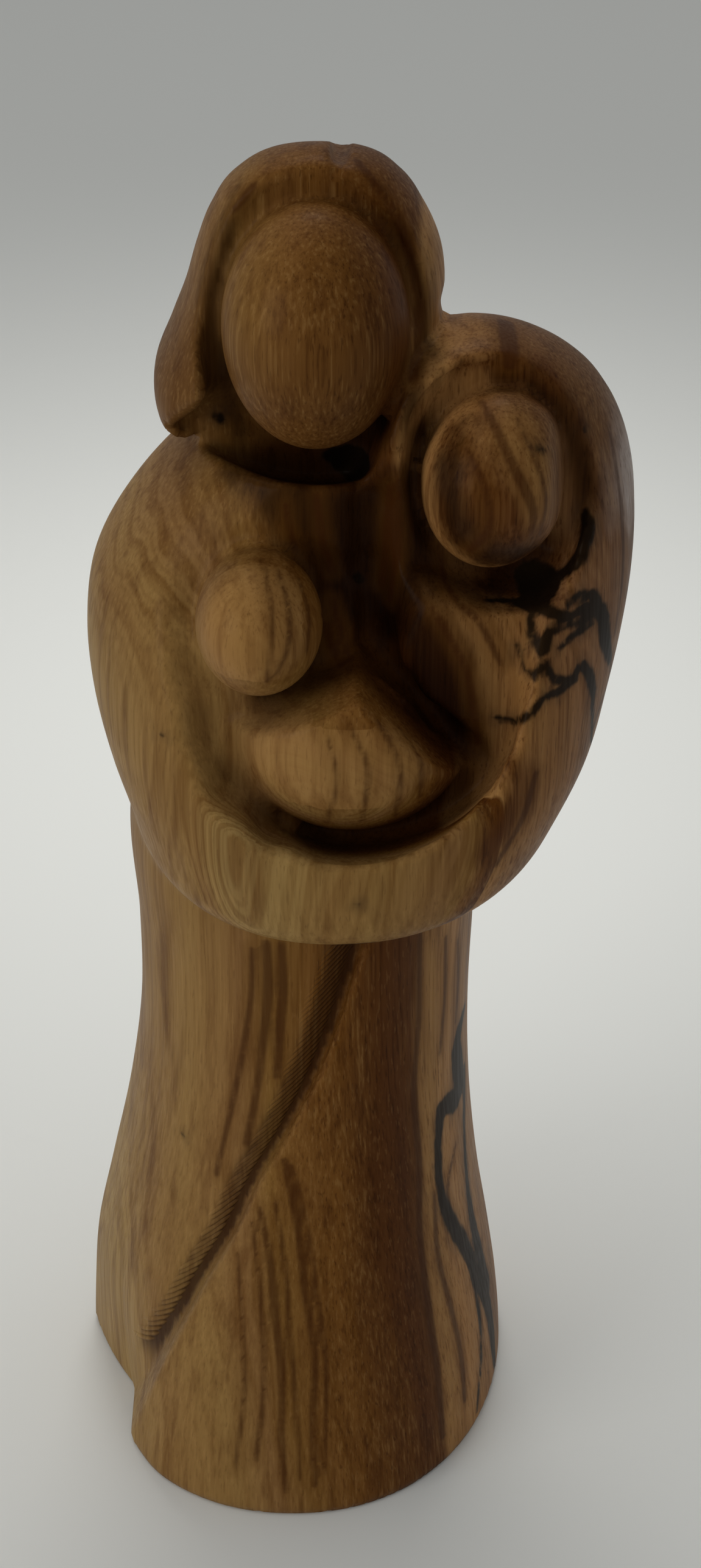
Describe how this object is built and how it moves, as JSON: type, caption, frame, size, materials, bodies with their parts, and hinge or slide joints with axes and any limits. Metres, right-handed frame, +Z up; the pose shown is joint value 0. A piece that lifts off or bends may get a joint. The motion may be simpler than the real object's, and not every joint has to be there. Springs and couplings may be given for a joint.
{
  "type": "carved figure group",
  "caption": "Carved olive-wood holy family figure: hooded faceless parents standing together with a child held in their joined arms, on a flat underside.",
  "frame": {"origin": "on the flat underside, in the middle of the base between the two skirts", "axes": "+Z up, the figures face -Y, +X towards the shorter hooded figure (on the right as seen from the front)"},
  "size_m": [0.0655, 0.0575, 0.166],
  "materials": {
    "olive_wood": "olive wood with dark brown and black figure, sanded smooth and waxed to a satin sheen"
  },
  "bodies": {
    "root": {"holy_family": "olive_wood"}
  },
  "joints": []
}
